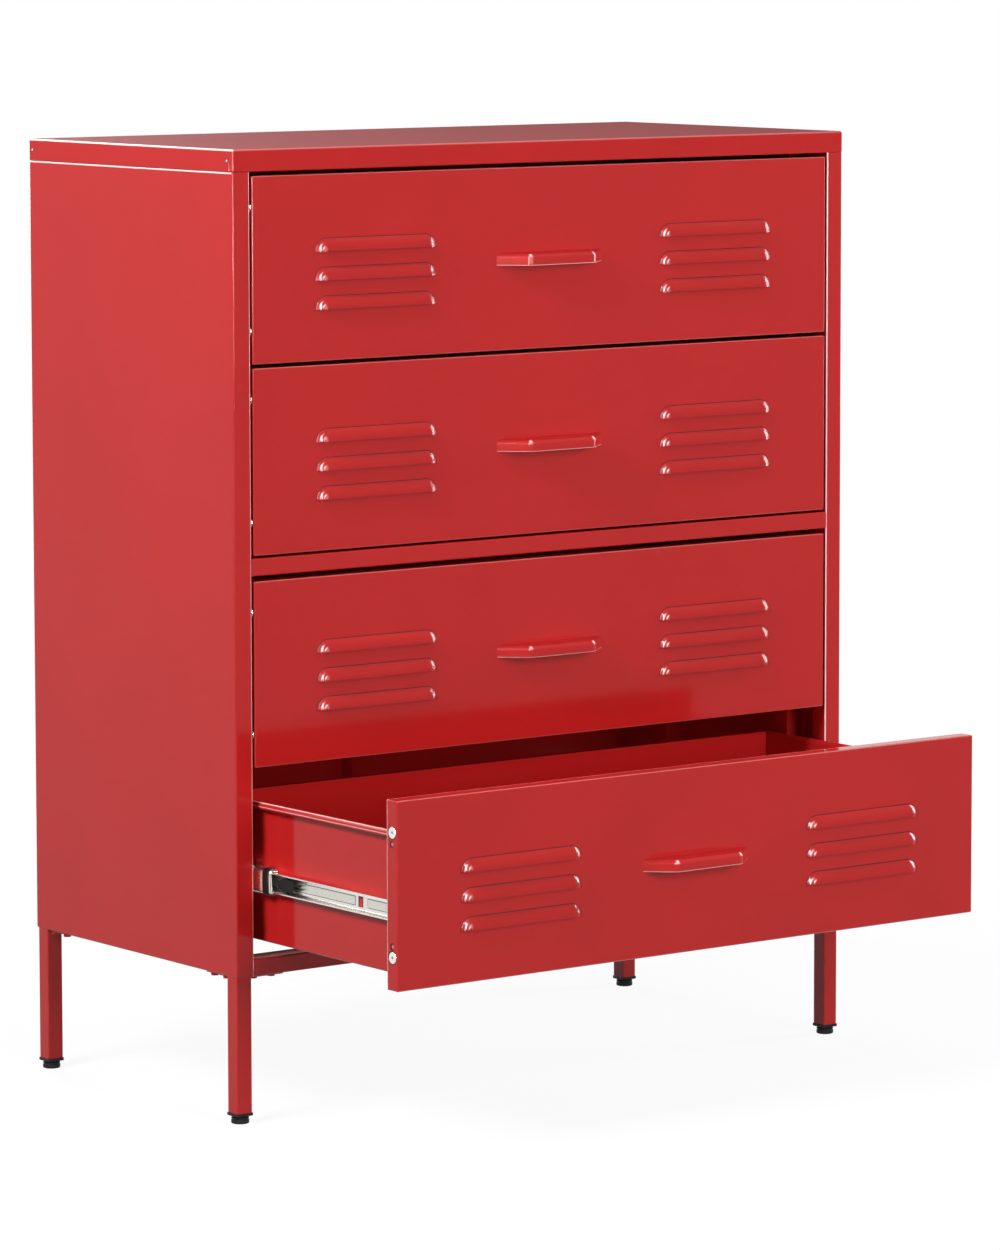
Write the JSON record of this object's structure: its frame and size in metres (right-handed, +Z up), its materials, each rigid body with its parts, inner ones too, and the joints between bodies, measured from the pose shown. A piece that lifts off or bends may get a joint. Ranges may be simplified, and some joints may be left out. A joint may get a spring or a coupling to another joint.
{
  "type": "metal drawer cabinet",
  "caption": "Free-standing sheet-steel drawer chest on tube legs, with louvred drawer fronts, folded pulls and telescopic slides, the bottom drawer standing open.",
  "frame": {"origin": "on the floor, under the centre of the box around the cabinet with its bottom drawer open as at rest", "axes": "+Z up, +Y towards the back, +X to the right for someone facing the drawers"},
  "size_m": [0.8, 0.6486, 0.992],
  "materials": {
    "red_paint": "satin powder coat",
    "zinc_steel": "bright zinc plating",
    "screw_steel": "zinc plating",
    "black_plastic": "moulded, matt"
  },
  "bodies": {
    "cabinet": {"top_panel": "red_paint", "side_panel_left": "red_paint", "side_panel_right": "red_paint", "back_panel_left": "red_paint", "back_panel_right": "red_paint", "middle_rail": "red_paint", "bottom_front_rail": "red_paint", "bottom_rear_rail": "red_paint", "slide_brackets": "red_paint", "cabinet_runners": "zinc_steel", "leg_front_left": "red_paint", "leg_front_right": "red_paint", "leg_rear_left": "red_paint", "leg_rear_right": "red_paint", "leg_plugs": "black_plastic", "cabinet_screws": "red_paint"},
    "foot_front_left": {"levelling_foot_front_left": "black_plastic"},
    "foot_front_right": {"levelling_foot_front_right": "black_plastic"},
    "foot_rear_left": {"levelling_foot_rear_left": "black_plastic"},
    "foot_rear_right": {"levelling_foot_rear_right": "black_plastic"},
    "slide_middle_1": {"drawer_1_mid_runners": "zinc_steel"},
    "drawer_1": {"drawer_1_front": "red_paint", "drawer_1_handle": "red_paint", "drawer_1_side_left": "red_paint", "drawer_1_side_right": "red_paint", "drawer_1_back": "red_paint", "drawer_1_bottom": "red_paint", "drawer_1_screws": "screw_steel", "drawer_1_runners": "zinc_steel"},
    "release_levers_1": {"drawer_1_release_levers": "black_plastic"},
    "slide_middle_2": {"drawer_2_mid_runners": "zinc_steel"},
    "drawer_2": {"drawer_2_front": "red_paint", "drawer_2_handle": "red_paint", "drawer_2_side_left": "red_paint", "drawer_2_side_right": "red_paint", "drawer_2_back": "red_paint", "drawer_2_bottom": "red_paint", "drawer_2_screws": "screw_steel", "drawer_2_runners": "zinc_steel"},
    "release_levers_2": {"drawer_2_release_levers": "black_plastic"},
    "slide_middle_3": {"drawer_3_mid_runners": "zinc_steel"},
    "drawer_3": {"drawer_3_front": "red_paint", "drawer_3_handle": "red_paint", "drawer_3_side_left": "red_paint", "drawer_3_side_right": "red_paint", "drawer_3_back": "red_paint", "drawer_3_bottom": "red_paint", "drawer_3_screws": "screw_steel", "drawer_3_runners": "zinc_steel"},
    "release_levers_3": {"drawer_3_release_levers": "black_plastic"},
    "slide_middle_4": {"drawer_4_mid_runners": "zinc_steel"},
    "drawer_4": {"drawer_4_front": "red_paint", "drawer_4_handle": "red_paint", "drawer_4_side_left": "red_paint", "drawer_4_side_right": "red_paint", "drawer_4_back": "red_paint", "drawer_4_bottom": "red_paint", "drawer_4_screws": "screw_steel", "drawer_4_runners": "zinc_steel"},
    "release_levers_4": {"drawer_4_release_levers": "black_plastic"}
  },
  "joints": [
    {"name": "foot_front_left_turn", "type": "hinge", "parent": "cabinet", "child": "foot_front_left", "pos_m": [-0.3895, -0.04425, 0], "axis": [0, 0, 1], "continuous": true},
    {"name": "foot_front_right_turn", "type": "hinge", "parent": "cabinet", "child": "foot_front_right", "pos_m": [0.3895, -0.04425, 0], "axis": [0, 0, 1], "continuous": true},
    {"name": "foot_rear_left_turn", "type": "hinge", "parent": "cabinet", "child": "foot_rear_left", "pos_m": [-0.3895, 0.31275, 0], "axis": [0, 0, 1], "continuous": true},
    {"name": "foot_rear_right_turn", "type": "hinge", "parent": "cabinet", "child": "foot_rear_right", "pos_m": [0.3895, 0.31275, 0], "axis": [0, 0, 1], "continuous": true},
    {"name": "drawer_1_outer_slide", "type": "slide", "parent": "cabinet", "child": "slide_middle_1", "axis": [0, -1, 0], "range_m": [0, 0.098]},
    {"name": "drawer_1_inner_slide", "type": "slide", "parent": "slide_middle_1", "child": "drawer_1", "axis": [0, -1, 0], "range_m": [0, 0.202]},
    {"name": "drawer_1_release", "type": "hinge", "parent": "drawer_1", "child": "release_levers_1", "pos_m": [0, 0.14875, 0.8535], "axis": [1, 0, 0], "range_deg": [-6, 6], "stiffness_Nm_per_rad": 0.05},
    {"name": "drawer_2_outer_slide", "type": "slide", "parent": "cabinet", "child": "slide_middle_2", "axis": [0, -1, 0], "range_m": [0, 0.098]},
    {"name": "drawer_2_inner_slide", "type": "slide", "parent": "slide_middle_2", "child": "drawer_2", "axis": [0, -1, 0], "range_m": [0, 0.202]},
    {"name": "drawer_2_release", "type": "hinge", "parent": "drawer_2", "child": "release_levers_2", "pos_m": [0, 0.14875, 0.6597], "axis": [1, 0, 0], "range_deg": [-6, 6], "stiffness_Nm_per_rad": 0.05},
    {"name": "drawer_3_outer_slide", "type": "slide", "parent": "cabinet", "child": "slide_middle_3", "axis": [0, -1, 0], "range_m": [0, 0.098]},
    {"name": "drawer_3_inner_slide", "type": "slide", "parent": "slide_middle_3", "child": "drawer_3", "axis": [0, -1, 0], "range_m": [0, 0.202]},
    {"name": "drawer_3_release", "type": "hinge", "parent": "drawer_3", "child": "release_levers_3", "pos_m": [0, 0.14875, 0.4439], "axis": [1, 0, 0], "range_deg": [-6, 6], "stiffness_Nm_per_rad": 0.05},
    {"name": "drawer_4_outer_slide", "type": "slide", "parent": "cabinet", "child": "slide_middle_4", "axis": [0, -1, 0], "range_m": [-0.043, 0.055]},
    {"name": "drawer_4_inner_slide", "type": "slide", "parent": "slide_middle_4", "child": "drawer_4", "axis": [0, -1, 0], "range_m": [-0.202, 0]},
    {"name": "drawer_4_release", "type": "hinge", "parent": "drawer_4", "child": "release_levers_4", "pos_m": [0, -0.09625, 0.2501], "axis": [1, 0, 0], "range_deg": [-6, 6], "stiffness_Nm_per_rad": 0.05}
  ]
}
